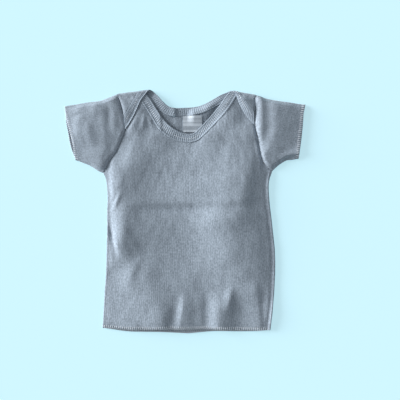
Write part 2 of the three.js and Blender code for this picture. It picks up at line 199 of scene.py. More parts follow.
# %% [markdown]
# ## Sewing thread, label tape and table
# The thread is spun polyester, a little paler and glossier than the cloth. The label is a plain
# woven tape, with a few darker stripes woven in and nothing to read. The table is a plain pale
# sheet; it gives off a little light of its own, as a lit table does, so that shadows stay faint.

# %% Thread, tape and table materials
sewing_thread, surface = new_material("spun_polyester_thread", Roughness=0.6, Sheen_Weight=0.2)
twist = add(sewing_thread, "ShaderNodeTexCoord").outputs["Object"]
plies = add(sewing_thread, "ShaderNodeTexNoise", {"Vector": twist, "Scale": 1500.0}).outputs["Fac"]
thread_tone = blend(sewing_thread, plies, colour("#C4CEDA"), colour("#F2F6FA"))
sewing_thread.node_tree.links.new(thread_tone, surface.inputs["Base Color"])

LABEL = {"left": -2.4, "right": 19.4, "bottom": 91.0, "top": 109.6}
# How dark the woven stripes are, from the label's lower end, 0, to its upper end, 1.
STRIPES = ((0.1, 0), (0.16, 1), (0.34, 1), (0.4, 0), (0.52, 0), (0.55, 0.7), (0.6, 0.7), (0.63, 0),
           (0.76, 0), (0.78, 0.5), (0.82, 0.5), (0.85, 0))
woven_tape, surface = new_material("woven_satin_tape", Roughness=0.55, Sheen_Weight=0.1)
cut = add(woven_tape, "ShaderNodeUVMap", uv_map="cut").outputs["UV"]
place = add(woven_tape, "ShaderNodeSeparateXYZ", {"Vector": cut}).outputs
span = {"Value": place["Y"], "From Min": LABEL["bottom"], "From Max": LABEL["top"]}
height = add(woven_tape, "ShaderNodeMapRange", span).outputs[0]
weave = add(woven_tape, "ShaderNodeValToRGB", {"Fac": height})
for at, shade in STRIPES:
    weave.color_ramp.elements.new(at).color = (shade, shade, shade, 1)
for end in (0, -1):
    weave.color_ramp.elements[end].color = (0, 0, 0, 1)
speck = spots(woven_tape, cut, (1.6, 1.6, 1.0), 2.0)
mark = maths(woven_tape, "MULTIPLY", weave.outputs["Color"], speck)
tape_tone = blend(woven_tape, mark, colour("#BCC7D2"), colour("#5F6B77"))
woven_tape.node_tree.links.new(tape_tone, surface.inputs["Base Color"])

table, surface = new_material("pale_table", Roughness=0.9, Specular_IOR_Level=0.0, Emission_Strength=0.66,
                              Base_Color=colour("#8FA9B1"), Emission_Color=colour("#CEF4FF"))
bpy.ops.mesh.primitive_plane_add(size=6, location=(0, 0, -0.0001))
floor = bpy.context.object
floor.name = "table"
floor.data.materials.append(table)
print("materials", [m.name for m in bpy.data.materials])

# %% [markdown]
# ## The pattern
# A tailor's pattern is a set of outlines. Each is a smooth curve through a few measured points,
# from the hem up. The shoulder is a fold line. What lies past it on the cloth, the lap, is turned
# over and ends at the armhole, which makes the envelope neck.

# %% Pattern points, as laid
SIDES = ("left", "right")
PANELS = ("front", "back")
SIDE = {
    "left": [(-94.5, -133.2), (-92.6, -98), (-90.6, -68), (-89.6, -30), (-89.4, 0), (-88.8, 18),
             (-90.6, 36), (-93.5, 43.9)],
    "right": [(98.2, -135.6), (101.3, -106), (103.4, -72), (103.2, -46), (100.2, -16), (96.8, 14),
              (96.3, 33), (99.6, 45.6)],
}
SHOULDER = {"left": [(-76.4, 132.3), (-39.4, 136.9)], "right": [(80.4, 131.1), (54.7, 135.5)]}
# Each half: its hem from the side to the middle, armhole, neck seam and free edge of the band from
# the middle up, where these two enter and leave the fold, and the outlines of the lap past it.
HALVES = {
    ("front", "left"): {
        "hem": [(-94.5, -133.2), (-82, -134.1), (-60, -134.6), (-28, -134.2), (3.5, -134.6)],
        "armhole": [(-93.5, 43.9), (-87.5, 56), (-78.7, 69), (-73.2, 81.2), (-68.2, 96), (-69.8, 109.4),
                    (-73.4, 120.5), (-76.4, 132.3)],
        "seam": [(6, 78.6), (-6, 80), (-15.5, 83.5), (-24, 89), (-31, 95.8), (-37.5, 106.5),
                 (-43.5, 116.5), (-50, 126)],
        "edge": [(6, 88.2), (-3, 89.8), (-11.5, 93.8), (-18.6, 99), (-25, 106), (-31.6, 115.6),
                 (-37.4, 125), (-42, 131)],
        "seam_turn": (21.1, 19), "edge_turn": (30.8, 29.3),
        "lap_outer": [(-76, 120), (-76, 112.6)],
        "lap_seam": [(-63, 126), (-69.5, 117.5), (-75.2, 111.7)],
        "lap_edge": [(-54.5, 125.5), (-61.5, 115.5), (-68.5, 107), (-75.6, 98.5)],
    },
    ("front", "right"): {
        "hem": [(98.2, -135.6), (84, -136), (58, -135.4), (30, -134.2), (3.5, -134.6)],
        "armhole": [(99.6, 45.6), (95.2, 50.3), (90.2, 56.4), (86.6, 66.9), (83.6, 83.4), (81, 96.1),
                    (79.6, 109.5), (79.6, 120.9), (80.4, 131.1)],
        "seam": [(6, 78.6), (14.5, 81), (22, 87), (29.6, 94.5), (36.5, 101.8), (43, 108.7),
                 (49, 115.8), (54.5, 124)],
        "edge": [(6, 88.2), (11.8, 90.4), (17.2, 95.8), (23, 101.8), (30, 109.4), (36, 116.6),
                 (41.3, 123.2), (46, 130.5)],
        "seam_turn": (20.2, 18.4), "edge_turn": (30.3, 28.3),
        "lap_outer": [(80.6, 120), (80.6, 112.8)],
        "lap_seam": [(68.5, 125.5), (75, 117.5), (79.9, 112.2)],
        "lap_edge": [(60.5, 125.5), (66.5, 115.5), (73.5, 107), (80.2, 98.5)],
    },
    ("back", "left"): {
        "hem": [(-94.5, -133.2), (-82, -135.2), (-63, -137.6), (-30, -138.2), (3.5, -139.7)],
        "armhole": [(-93.5, 43.9), (-88, 57.5), (-83.5, 72), (-79.5, 86), (-76.9, 104), (-76.2, 118),
                    (-76.4, 132.3)],
        "seam": [(1, 109.5), (-8, 109.2), (-15.5, 109.2), (-22.8, 111.4), (-30, 117), (-38.3, 125.6)],
        "edge": [(1, 119), (-7, 118.6), (-12.8, 118.6), (-18.6, 120.2), (-24.4, 125), (-30.2, 131.4)],
        "seam_turn": (28.9, 22.3), "edge_turn": (40.5, 33.8),
        "lap_outer": [(-73.2, 123.5), (-70.6, 115), (-69.9, 109.8)],
        "lap_seam": [(-59.5, 126), (-65, 116.5), (-69.1, 109.3)],
        "lap_edge": [(-49.5, 128), (-54.5, 117.5), (-59, 108), (-63.3, 100.6), (-67.8, 94.2)],
    },
    ("back", "right"): {
        "hem": [(98.2, -135.6), (84, -137), (58, -137.4), (32, -137.2), (3.5, -139.7)],
        "armhole": [(99.6, 45.6), (93, 58), (88, 72), (84, 87), (81.4, 104), (80.6, 118), (80.4, 131.1)],
        "seam": [(1, 109.5), (10.5, 110.2), (19.5, 112.2), (28.5, 116), (37.5, 121), (47, 127.8)],
        "edge": [(1, 119), (9, 119.6), (16.5, 121), (24.5, 124.2), (32.4, 128.8), (40.4, 133.4)],
        "seam_turn": (24.2, 16), "edge_turn": (32.4, 23.1),
        "lap_outer": [(79.8, 122.5), (79.5, 115.2)],
        "lap_seam": [(67.6, 128.6), (72.3, 122.4), (78.8, 114.8)],
        "lap_edge": [(59, 130.6), (62, 122.4), (66.6, 113.6), (71.3, 107), (79.8, 98.2)],
    },
}
print(len(HALVES), "half panels")

# %% [markdown]
# ## Smooth lines
# A cutter draws a smooth curve through the points of a pattern. A Catmull-Rom curve does the same
# here, because it passes through each of its points. Later pieces ask for places at equal steps
# along it, or for the distance to it.

# %% Smooth lines through the pattern points
def lengths(line):
    """How far along a line each of its points is."""
    return np.concatenate([[0], np.cumsum(np.hypot(*np.diff(line, axis=0).T))])


def places_at(where, along, line):
    """Places at some lengths along a line whose points lie at other lengths."""
    return np.column_stack([np.interp(where, along, line[:, k]) for k in (0, 1)])


def smooth_line(points, count):
    """Places at count equal steps along a smooth curve through the points."""
    p = np.array(points, float)
    last = len(p) - 1
    t = np.linspace(0, last, 24 * last + 1)
    i = np.minimum(t.astype(int), last - 1)
    f = (t - i)[:, None]
    a, b, c, d = p[np.maximum(i - 1, 0)], p[i], p[i + 1], p[np.minimum(i + 2, last)]
    bends = (2 * a - 5 * b + 4 * c - d) * f ** 2 + (3 * b - a - 3 * c + d) * f ** 3
    fine = 0.5 * (2 * b + (c - a) * f + bends)
    along = lengths(fine)
    return places_at(np.linspace(0, along[-1], count + 1), along, fine)


def smoothstep(low, high, x):
    """0 below low, 1 above high, and smooth between."""
    t = np.clip((x - low) / (high - low), 0, 1)
    return t * t * (3 - 2 * t)


def bump_at(value, centre, width):
    """A soft bump of height 1."""
    return np.exp(-((value - centre) / width) ** 2)


def distance_to(line, x, y):
    """How far each place is from a line of points."""
    best = np.full_like(x, 1e9)
    for (ax, ay), (bx, by) in zip(line[:-1], line[1:]):
        dx, dy = bx - ax, by - ay
        t = np.clip(((x - ax) * dx + (y - ay) * dy) / (dx * dx + dy * dy + 1e-12), 0, 1)
        best = np.minimum(best, np.hypot(x - ax - t * dx, y - ay - t * dy))
    return best


print("side is", round(float(lengths(smooth_line(SIDE["left"], 40))[-1])), "mm long")

# %% [markdown]
# ## Unfolding the laps
# To cut a panel in one piece, its laps are unfolded. A fold in cloth is a half turn round a small
# radius, so the flat cut is longer than the laid shape by pi times that radius. The front turns
# down tightly under itself. The back turns up round the front's fold, so its radius is larger.

# %% From the laid lap to the flat cut
FOLD_LEVEL = 2.85
TURN_RADIUS = {"front": 0.75, "back": 2.25}
UP = {"front": 1, "back": -1}


def fold_of(side):
    """The start, direction and outward normal of a shoulder fold."""
    start, end = (np.array(p, float) for p in SHOULDER[side])
    direction = (end - start) / np.hypot(*(end - start))
    outward = np.array([-direction[1], direction[0]])
    return start, direction, outward * np.sign(outward[1])


def unfolded(points, side, radius):
    """Laid lap points, carried to the flat cut."""
    start, direction, outward = fold_of(side)
    rel = np.array(points, float) - start
    along, below = rel @ direction, -(rel @ outward)
    return start + np.outer(along, direction) + np.outer(below + math.pi * radius, outward)


def upper_line(name, side, key):
    """One edge of a half panel in the flat cut: up to the fold, over it and along the lap."""
    half = HALVES[name, side]
    start, direction, outward = fold_of(side)
    enter, leave = half.get(key + "_turn", (0, 0))
    below = np.array([half["armhole"][-1]])
    if key != "outer":
        below = smooth_line(half[key] + [tuple(start + direction * enter)], 60)
    lap = smooth_line([start + direction * leave] + half["lap_" + key], 40)
    return np.vstack([below, unfolded(lap, side, TURN_RADIUS[name])])


def panel_outline(name):
    """The whole outline of a panel in the flat cut, once round."""
    halves = {}
    for side in SIDES:
        half = HALVES[name, side]
        halves[side] = np.vstack([
            smooth_line(half["hem"], 30)[::-1], smooth_line(SIDE[side], 60)[1:],
            smooth_line(half["armhole"], 40)[1:], upper_line(name, side, "outer")[1:],
            upper_line(name, side, "seam")[::-1]])
    return np.vstack([halves["right"], halves["left"][::-1][1:-1]])


def area_of(outline):
    """The area inside an outline, in square millimetres, below zero where it runs clockwise."""
    x, y = outline.T
    return float(np.dot(x, np.roll(y, -1)) - np.dot(y, np.roll(x, -1))) / 2


OUTLINE = {name: panel_outline(name) for name in PANELS}
for name, line in OUTLINE.items():
    print(name, "cut", np.ptp(line, axis=0).round(), "mm")

# %% [markdown]
# ## Creases
# Knitted cotton that was folded and pressed, then laid by hand, has long soft creases. Each one
# is listed as a ridge with its own length, height, and width on its two sides, because a
# real crease has a steep side and a slack side.

# %% Table of creases
# x, y: middle in mm. turn: direction in degrees from +X. length. left, right: the widths of the
# two sides, seen along the direction. rise: height, below zero in a furrow. bow: how far the middle
# bends to the left. flare: how much wider the far end is, as a share.
FRONT_CREASES = [
    (66, 30, 77, 108, 42, 18, 6.0),
    (76, -26, 98, 120, 30, 20, 3.6, -3, 0),
    (86, -76, 94, 64, 16, 13, 1.8),
    (45, -34, 104, 110, 28, 25, 5.0),
    (75, 78, 92, 60, 40, 9, 2.2),
    (-80.5, 39, 87, 60, 7, 12, 3.2),
    (-77.5, 12, 62, 26, 2.2, 2.6, 1.3),
    (-80.5, 11, 62, 22, 1.8, 1.8, -0.7),
    (-72, -14, 91, 60, 9, 12, 2.4, 0, 0.35),
    (-66, -18, 90, 100, 10, 34, 1.4),
    (-77, -42, 97, 50, 4, 12, 0.4),
    (-77, -30, 92, 46, 4, 20, 1.4),
    (-75, -47, 90, 50, 34, 16, 2.6),
    (-82, -33, 107, 50, 4, 2.4, -1.7),
    (-65, 48, 72, 120, 11, 22, 3.0),
    (-76, -10, 91, 104, 7, 70, 2.8, 0, 0.5),
    (-40, -114, 76, 84, 34, 30, 4.8),
    (-60, -69, 62, 50, 12, 6, 1.3),
    (-42, -68, 82, 50, 20, 12, 1.4),
    (-60, -136, 64, 24, 14, 6, 0.9),
    (-58, -38, 119, 30, 2.6, 4, 0.5),
    (0, -88, 80, 56, 30, 24, 1.8),
    (-26, -128, 80, 56, 14, 10, 2.8),
    (-3.5, -122, 81, 68, 6.5, 17, 4.0, 0, -0.3),
    (18, -116, 92, 56, 7, 5, 1.1),
    (39, -128, 89, 78, 12, 17, 5.4, 0, -0.1),
    (43, -95, 92, 60, 14, 14, 1.7),
    (51, -100, 80, 40, 5, 5, 1.8),
    (83, -112, 95, 90, 14, 6, 2.2),
    (96, -112, 86, 60, 6, 3, 1.6),
    (-4, 4.5, 1, 170, 4, 9, -2.4),
    (68, 7, 3, 50, 5, 8, -1.5),
    (-50, 120, 63, 26, 6, 8, 1.6),
    (-55, 100, 60, 36, 7, 9, 2.2),
    (30, -4, 84, 44, 14, 26, 1.9),
    (63, -82, 92, 54, 14, 16, 2.4),
    (-58, -76, 88, 46, 14, 30, 2.0),
    (10, 19, 90, 50, 22, 34, 1.5),
    (46, 60, 92, 44, 14, 14, -0.9),
    (68, 90, 104, 50, 38, 12, 1.8),
    (-30, 82, 118, 40, 14, 12, 1.4),
    (26, 74, 66, 50, 12, 10, 0.9),
    (48, 62, 70, 36, 10, 9, 0.7),
    (33, 95, 49, 62, 4, 16, 1.3),
    (50, 116, 118, 46, 14, 14, 3.2),
    (-58, 104, 63, 34, 3, 4, 1.0),
    (-47, 103, 84, 26, 3, 4, 1.0),
    (-39, 102, 110, 22, 2.5, 3.5, 1.0),
]
BACK_CREASES = [
    (-30, -60, 86, 120, 20, 26, 0.7),
    (50, 10, 95, 150, 24, 16, 0.8),
    (-62, 40, 70, 80, 12, 18, 0.7),
    (10, -120, 92, 60, 10, 14, 0.7),
    (0, 8, 1, 150, 5, 7, 0.5),
    (-14, 104, 100, 44, 10, 14, 1.5),
]
LAP_CREASES = [
    (-68, 115, 100, 40, 5, 6, 1.1),
    (-60, 121, 60, 30, 5, 6, 0.7),
    (70, 122, 118, 30, 4, 6, 0.8),
    (72.5, 121, 131, 60, 8, 7, 3.2),
]


def crease_height(creases, x, y):
    """How high a table of creases lifts the cloth at each place."""
    lift = np.zeros_like(x)
    for cx, cy, turn, length, left, right, rise, *bend in creases:
        bow, flare = bend or (0, 0)
        c, s = math.cos(math.radians(turn)), math.sin(math.radians(turn))
        along = ((x - cx) * c + (y - cy) * s) / (length / 2)
        across = (y - cy) * c - (x - cx) * s + bow * along ** 2
        width = np.where(across > 0, left, right) * np.clip(1 + flare * along, 0.2, 3)
        lift += rise * bump_at(across, 0, width) * (1 - smoothstep(0.25, 1, np.abs(along)))
    return lift


print(len(FRONT_CREASES), "creases on the front")

# %% [markdown]
# ## Sides, seams and soft edges
# The body is knitted as a tube, so each side is a fold: a quarter turn of front meets a quarter
# turn of back. Cloth that was pressed also stands up here and there along an edge. Simulated cloth
# would find such places by chance. Here they are written down: the back along its neck seam, the
# front by its left fold, its right armhole and its right side.

# %% Sides, seams and soft edges
MIDDLE = 3
HALF_WALL = 0.45
ROLL = 0.75
SIDE_LINE = {side: smooth_line(SIDE[side], 60) for side in SIDES}
SEAM_SIDES = {
    (name, side): np.vstack([smooth_line(SIDE[side], 40),
                             smooth_line(HALVES[name, side]["armhole"], 40)[1:],
                             upper_line(name, side, "outer")])
    for name in PANELS for side in SIDES
}
# Where the back stands up along its neck seam: rise, and where it starts and ends, seen across.
NECK_WAVES = ((3.6, (2, 11), (24, 38)), (2.0, (-50, -42), (-26, -12)))


def neck_lift(x, y):
    """How far the back stands up along its neck seam."""
    seam = np.vstack([upper_line("back", "left", "seam")[::-1], upper_line("back", "right", "seam")[1:]])
    part = sum(rise * smoothstep(*start, x) * (1 - smoothstep(*end, x)) for rise, start, end in NECK_WAVES)
    return part * (y > 70) * bump_at(distance_to(seam, x, y), 0, 8)


def is_on(side, x):
    """Whether a place is on the left or the right half."""
    return (x < MIDDLE) == (side == "left")


def side_depth(side, x, y):
    """How far in from a side fold a place is, and very far on the other half."""
    return np.where(is_on(side, x), distance_to(SIDE_LINE[side], x, y), 99)


def rolled(x, y, z, up):
    """X and height of the cloth, with both sides rolled under or up in a quarter turn."""
    out = x.copy()
    for side, sign in (("left", -1), ("right", 1)):
        depth = side_depth(side, x, y)
        part = np.clip(1 - depth / (ROLL * math.pi / 2), 0, 1) * (1 - smoothstep(34, 43, y))
        angle = part * math.pi / 2 * 0.93
        out -= sign * np.where(part > 0, part * (HALF_WALL + ROLL * (1 - np.sin(angle)) - depth), 0)
        z = z - up * ROLL * (1 - np.cos(angle))
    return out, z


def stands(x, y, edge):
    """How far the front stands up at its left fold, its right armhole and its right side."""
    left, right = (side_depth(side, x, y) for side in SIDES)
    fold = 1.2 * bump_at(left, 0.6, 3.4) * bump_at(y, -44, 22) * smoothstep(0, 0.8, left)
    armhole = 1.8 * bump_at(edge, 0, 5) * bump_at(y, 76, 22) * (x > MIDDLE)
    rim = 0.9 + 0.7 * bump_at(y, 32, 16) + 1.9 * bump_at(y, -118, 19)
    rim = rim * bump_at(right, 0.6, 2.4) * smoothstep(0, 1, right) * (1 - smoothstep(34, 52, y))
    return fold + armhole + rim


print("neck stands", float(neck_lift(np.array([16.0]), np.array([111.0]))[0].round(1)), "mm up")

# %% [markdown]
# ## Where a panel lies
# One function carries each point of the flat cut to its place. The panel lies flat, lifts over its
# creases, rolls round at the side fold and dips into the armhole seam. Past the shoulder it goes
# round half a circle and comes back as the lap. The lap's outer edge is pressed down, because the
# armhole seam holds it. The front hangs a little lower near its hem, where nothing is under it.

# %% From the flat cut to the laid panel
def turned_over(x, y, place, low, lift, edge, side, name):
    """Places with one shoulder turned over its fold. low is the height of the cloth before it."""
    up, radius = UP[name], TURN_RADIUS[name]
    start, direction, outward = fold_of(side)
    rel = np.column_stack([x, y]) - start
    beyond, along = rel @ outward, rel @ direction
    shoulder = is_on(side, x) & (y > 95)
    place[:, 2] = np.where(shoulder & (beyond > -12), low + lift * smoothstep(0, 12, -beyond), place[:, 2])
    angle = np.clip(beyond / radius, 0, math.pi)
    lapped = np.maximum(beyond - math.pi * radius, 0)
    reach = radius * np.sin(angle) - lapped
    turned = start + np.outer(along, direction) + reach[:, None] * outward
    level = FOLD_LEVEL + up * radius * np.cos(angle)
    if name == "back":
        over = crease_height(FRONT_CREASES + LAP_CREASES, *turned.T)
        level = level + over * smoothstep(0, 6, lapped) - 0.8 * bump_at(edge, 0, 1.2) * (lapped > 0)
    past = shoulder & (beyond > 0)
    return np.where(past[:, None], np.column_stack([turned, level]), place)


def lay_panel(x, y, name):
    """Places of the middle of the cloth, for points of the flat cut."""
    edge = np.minimum(*(distance_to(SEAM_SIDES[name, side], x, y) for side in SIDES))
    inside = smoothstep(0, 8 - 4.5 * smoothstep(48, 60, y), edge)
    lift = inside * crease_height(BACK_CREASES, x, y)
    z = np.full_like(x, 0.6)
    if name == "back":
        lift += neck_lift(x, y)
    else:
        z = 2.1 + 1.5 * smoothstep(74, 90, y) - 0.5 * (1 - smoothstep(-139, -127, y))
        air = smoothstep(0, 34, edge) * smoothstep(-136, -90, y) * (1 - smoothstep(50, 86, y))
        lift += inside * crease_height(FRONT_CREASES, x, y) + 0.9 * air
    out, z = rolled(x, y, z, UP[name])
    if name == "front":
        z = z + stands(x, y, edge)
    dip = bump_at(edge, 0, 1.6) * smoothstep(40, 50, y) * np.where(x < MIDDLE, 0.7, 0.21)
    low = z - dip if name == "front" else z
    place = np.column_stack([out, y, low + lift])
    for side in SIDES:
        place = turned_over(x, y, place, low, lift, edge, side, name)
    return place


def raised(lay, x, y, height, step=0.06):
    """Places that stand a height off the laid cloth, along its own normal."""
    here = lay(x, y)
    right = lay(x + step, y) - here
    forward = lay(x, y + step) - here
    normal = np.cross(right, forward)
    normal /= np.linalg.norm(normal, axis=1)[:, None]
    return here + normal * np.asarray(height)[..., None]


print("front at the middle lies", lay_panel(np.array([3.0]), np.array([0.0]), "front").round(2))

# %% [markdown]
# ## Ribs and slack
# No rib of a worn and washed top is quite straight: the ribs spread a little towards the hem and
# wander. Between the creases the cloth is never quite flat either. A few dozen small waves, laid
# nearly along the ribs and drawn with a fixed seed, give it that slack. The waves fan out from the
# neck, because the cloth hangs from there.

# %% Ribs and slack
RIB_SPREAD, SLACK_SPREAD = 0.0012, 0.0035
FINE, BROAD = 26, 16
draw = np.random.default_rng(11)
width = np.concatenate([draw.uniform(3.6, 7.5, FINE), draw.uniform(9, 26, BROAD)])
length = np.concatenate([draw.uniform(14, 40, FINE), draw.uniform(20, 70, BROAD)])
lean = draw.choice([-1, 1], FINE + BROAD)
phase = draw.uniform(0, 2 * math.pi, FINE + BROAD)
slope = np.repeat([0.0045, 0.009], [FINE, BROAD])
SLACK = np.column_stack([width, length * lean, phase, slope])


def fanned(x, y, spread):
    """The place across the cloth, counted along lines that spread towards the hem."""
    return 5 + (x - 5) * np.exp(spread * y)


def rib_place(x, y, spread):
    """The place across the ribs, which wander a little."""
    return fanned(x, y, spread) + 0.5 * np.sin(y / 15 + x / 23) + 0.25 * np.sin(y / 6.5 - x / 31 + 1)


def slack(x, y, spread):
    """How far the small waves lift the cloth. Each wave is: width, length, phase and slope."""
    across = fanned(x, y, spread)
    lift = np.zeros_like(x)
    for wide, long, phase, slope in SLACK:
        lift += slope * wide / (2 * math.pi) * np.sin(2 * math.pi * (across / wide + y / long) + phase)
    return lift


print("slack", np.ptp(slack(*np.mgrid[-90:90:3.0, -130:120:3.0], 0)).round(2), "mm")

# %% [markdown]
# ## Cutting and laying the panels
# A grid with four columns to a rib stands for the flat knit. The outline is drawn as a filled
# ring of points, extruded to a cutter, and a Boolean keeps what is inside, as scissors would.
# Then the cut sheet is laid, its ribs are raised, and Solidify gives it its wall. Whatever would
# dip into the table is pressed flat against it. The ribs could be a bump only, but real ribs also
# make the edges and folds of knit look knitted.

# %% Cutting a sheet of ribs
def new_grid(name, columns, rows):
    """A flat grid with so many columns and rows of points."""
    bpy.ops.mesh.primitive_grid_add(x_subdivisions=columns - 1, y_subdivisions=rows - 1, size=1)
    grid = bpy.context.object
    grid.name = name
    grid.data.name = name
    return grid


def move_points(piece, places):
    """Moves each point of a mesh to a place in millimetres."""
    piece.data.vertices.foreach_set("co", (places * MM).ravel())
    piece.data.update()


def points_of(piece):
    """Each point of a mesh, in millimetres."""
    places = np.empty(len(piece.data.vertices) * 3)
    piece.data.vertices.foreach_get("co", places)
    return places.reshape(-1, 3) / MM


def spaced(bands):
    """Row places from (from, to, step) bands."""
    rows = [np.arange(low, high, step) for low, high, step in bands]
    return np.concatenate(rows + [[bands[-1][1]]])


def cut_sheet(name, outline, columns, rows):
    """A flat grid with these columns and rows, cut to an outline."""
    sheet = new_grid(name, len(columns), len(rows))
    x, y = np.meshgrid(columns, rows)
    move_points(sheet, np.column_stack([x.ravel(), y.ravel(), np.zeros(x.size)]))
    bpy.ops.mesh.primitive_circle_add(vertices=len(outline), fill_type="NGON", radius=1)
    cutter = bpy.context.object
    outline = outline if area_of(outline) > 0 else outline[::-1]
    move_points(cutter, np.column_stack([outline, np.full(len(outline), -10.0)]))
    bpy.ops.object.mode_set(mode="EDIT")
    bpy.ops.mesh.select_all(action="SELECT")
    bpy.ops.mesh.extrude_region_move(TRANSFORM_OT_translate={"value": (0, 0, 0.02)})
    bpy.ops.mesh.normals_make_consistent(inside=False)
    bpy.ops.object.mode_set(mode="OBJECT")
    bpy.context.view_layer.objects.active = sheet
    scissors = sheet.modifiers.new("scissors", "BOOLEAN")
    scissors.operation = "INTERSECT"
    scissors.solver = "EXACT"
    scissors.object = cutter
    bpy.ops.object.modifier_apply(modifier="scissors")
    bpy.data.objects.remove(cutter, do_unlink=True)
    return sheet


def map_cut(piece, x, y):
    """Keeps the flat cut's places, in mm, as the map that the materials follow."""
    corners = np.empty(len(piece.data.loops), dtype=np.int32)
    piece.data.loops.foreach_get("vertex_index", corners)
    while piece.data.uv_layers:
        piece.data.uv_layers.remove(piece.data.uv_layers[0])
    layer = piece.data.uv_layers.new(name="cut")
    layer.data.foreach_set("uv", np.column_stack([x, y])[corners].ravel())


def press_flat(piece):
    """Presses whatever would dip into the table flat against it."""
    places = points_of(piece)
    places[:, 2] = np.maximum(places[:, 2], 0.02)
    move_points(piece, places)


def pick(piece):
    """Selects one piece and nothing else."""
    bpy.ops.object.select_all(action="DESELECT")
    bpy.context.view_layer.objects.active = piece
    piece.select_set(True)


def give_wall(piece, wall, material, **weights):
    """Gives a laid sheet its wall, evenly to both sides, and its material."""
    pick(piece)
    solidify = piece.modifiers.new("wall", "SOLIDIFY")
    for setting, value in {"thickness": wall * MM, "offset": 0, **weights}.items():
        setattr(solidify, setting, value)
    bpy.ops.object.modifier_apply(modifier="wall")
    press_flat(piece)
    bpy.ops.object.shade_smooth()
    piece.data.materials.append(material)
    print(piece.name, sum(len(p.vertices) - 2 for p in piece.data.polygons), "triangles")


def lay_sheet(sheet, lay, fan, relief, material):
    """Lays a cut sheet, with its ribs and its wall. fan is 1 where they spread to the hem, or 0."""
    x, y = points_of(sheet)[:, :2].T
    across = rib_place(x, y, RIB_SPREAD * fan)
    map_cut(sheet, across, y)
    waves = slack(x, y, SLACK_SPREAD) if fan else slack(y, x, 0)
    move_points(sheet, raised(lay, x, y, relief * np.cos(2 * math.pi * across / RIB) + waves))
    give_wall(sheet, 2 * HALF_WALL, material)


COLUMNS = np.arange(-98.8, 106.4, RIB / 4)
ROWS = spaced([(-141, 70, 2.9), (70, 128, 2.0), (128, 149, 1.1), (149, 186, 2.2)])
panels = {}
for name in PANELS:
    panels[name] = cut_sheet("laid_" + name, OUTLINE[name], COLUMNS, ROWS)
    lay_sheet(panels[name], partial(lay_panel, name=name), 1, 0.045, rib_knit)

# %% [markdown]
# ## Sleeves
# A sleeve is cut in one piece and folded along its top, so its ribs run from shoulder to cuff on
# both layers. In the flat cut, u runs along the sleeve and q runs round it, zero on the top fold.
# The ribs follow the top fold line, as they do in a sleeve that is laid straight.

# %% Sleeve pattern
SLEEVES = {
    "left": {
        "top": [(-76.8, 132.3), (-84, 129.4), (-91, 126.7), (-98, 124.7), (-111.6, 123.2),
                (-125.4, 121.2), (-137.6, 119.4)],
        "bottom": [(-93.9, 45.3), (-98.5, 46.9), (-105, 51.3), (-114, 55.9), (-125.6, 60.2)],
        "cuff_front": [(-137.6, 119.4), (-135.2, 105.2), (-132.2, 93.7), (-128.4, 78), (-125.6, 60.2)],
        "cuff_back": [(-137.6, 119.4), (-136.5, 105.2), (-134.6, 93.7), (-131.1, 75.3), (-125.6, 60.2)],
    },
    "right": {
        "top": [(80.8, 131.1), (86.3, 129.7), (92, 127.4), (98.9, 126.2), (110, 124.6), (123, 123.1),
                (137.6, 121.1)],
        "bottom": [(100, 47), (104.5, 51.5), (110, 56), (116.5, 59.6), (124.2, 60.7), (130.4, 61.9)],
        "cuff_front": [(137.6, 121.1), (135.6, 112), (134.8, 103), (133.2, 90), (131.2, 74), (130.4, 61.9)],
        "cuff_back": [(137.6, 121.1), (136.1, 112), (135.6, 103), (134.4, 90), (132.4, 74), (130.4, 61.9)],
    },
}
SLEEVE_CREASES = [
    (-119, 103, 90, 66, 10, 30, 3.2),
    (-122, 110, 22, 20, 3, 3, -0.7),
    (-109, 88, 107, 36, 4, 5, 0.8),
    (-101, 121, 95, 34, 6, 10, 1.6),
    (-92, 100, 91, 60, 5, 4, 0.8),
    (-96, 60, 73, 60, 16, 7, 1.7),
    (-97, 84, 92, 140, 38, 34, 1.4),
    (-81, 110, 93, 60, 4, 5, 1.2),
    (-84, 128, 30, 26, 6, 6, 0.9),
    (86.5, 112, 90, 90, 5, 4.5, 2.6),
    (103.5, 106, 90, 96, 7, 20, 1.8, -10, 0),
    (94, 98, 90, 110, 14, 40, 4.2),
    (91, 64, 65, 46, 6, 24, 1.4),
    (89, 58, 118, 44, 3, 22, 1.6),
    (123, 65, 19, 36, 5, 3, 1.6),
]


def sleeve_axes(side):
    """The corner at the shoulder, the directions along the sleeve and up across it, and its top."""
    points = np.array(SLEEVES[side]["top"], float)
    corner = points[0]
    along = (points[-1] - corner) / np.hypot(*(points[-1] - corner))
    up = np.array([-along[1], along[0]])
    up = up * np.sign(up[1])
    top = (smooth_line(points, 60) - corner) @ np.column_stack([along, up])
    return corner, along, up, top


def sleeve_line(side, points, count):
    """A smooth line through laid points: u along the sleeve, and w below the line of its top fold."""
    corner, along, up, top = sleeve_axes(side)
    u, v = ((smooth_line(points, count) - corner) @ np.column_stack([along, up])).T
    return np.column_stack([u, np.interp(u, top[:, 0], top[:, 1]) - v])


def sleeve_lines(side):
    """The sleeve's armhole, cuff and underarm lines, front and back, in u and w."""
    lines = {"bottom": sleeve_line(side, SLEEVES[side]["bottom"], 40)}
    for name in PANELS:
        lines[name + "_armhole"] = sleeve_line(side, HALVES[name, side]["armhole"], 60)[::-1]
        lines[name + "_cuff"] = sleeve_line(side, SLEEVES[side]["cuff_" + name], 60)
    return lines


SLEEVE_LINES = {side: sleeve_lines(side) for side in SIDES}


def sleeve_level(side, u, w):
    """How far up the frame a laid point of the sleeve is."""
    corner, along, up, top = sleeve_axes(side)
    return corner[1] + u * along[1] + (np.interp(u, top[:, 0], top[:, 1]) - w) * up[1]


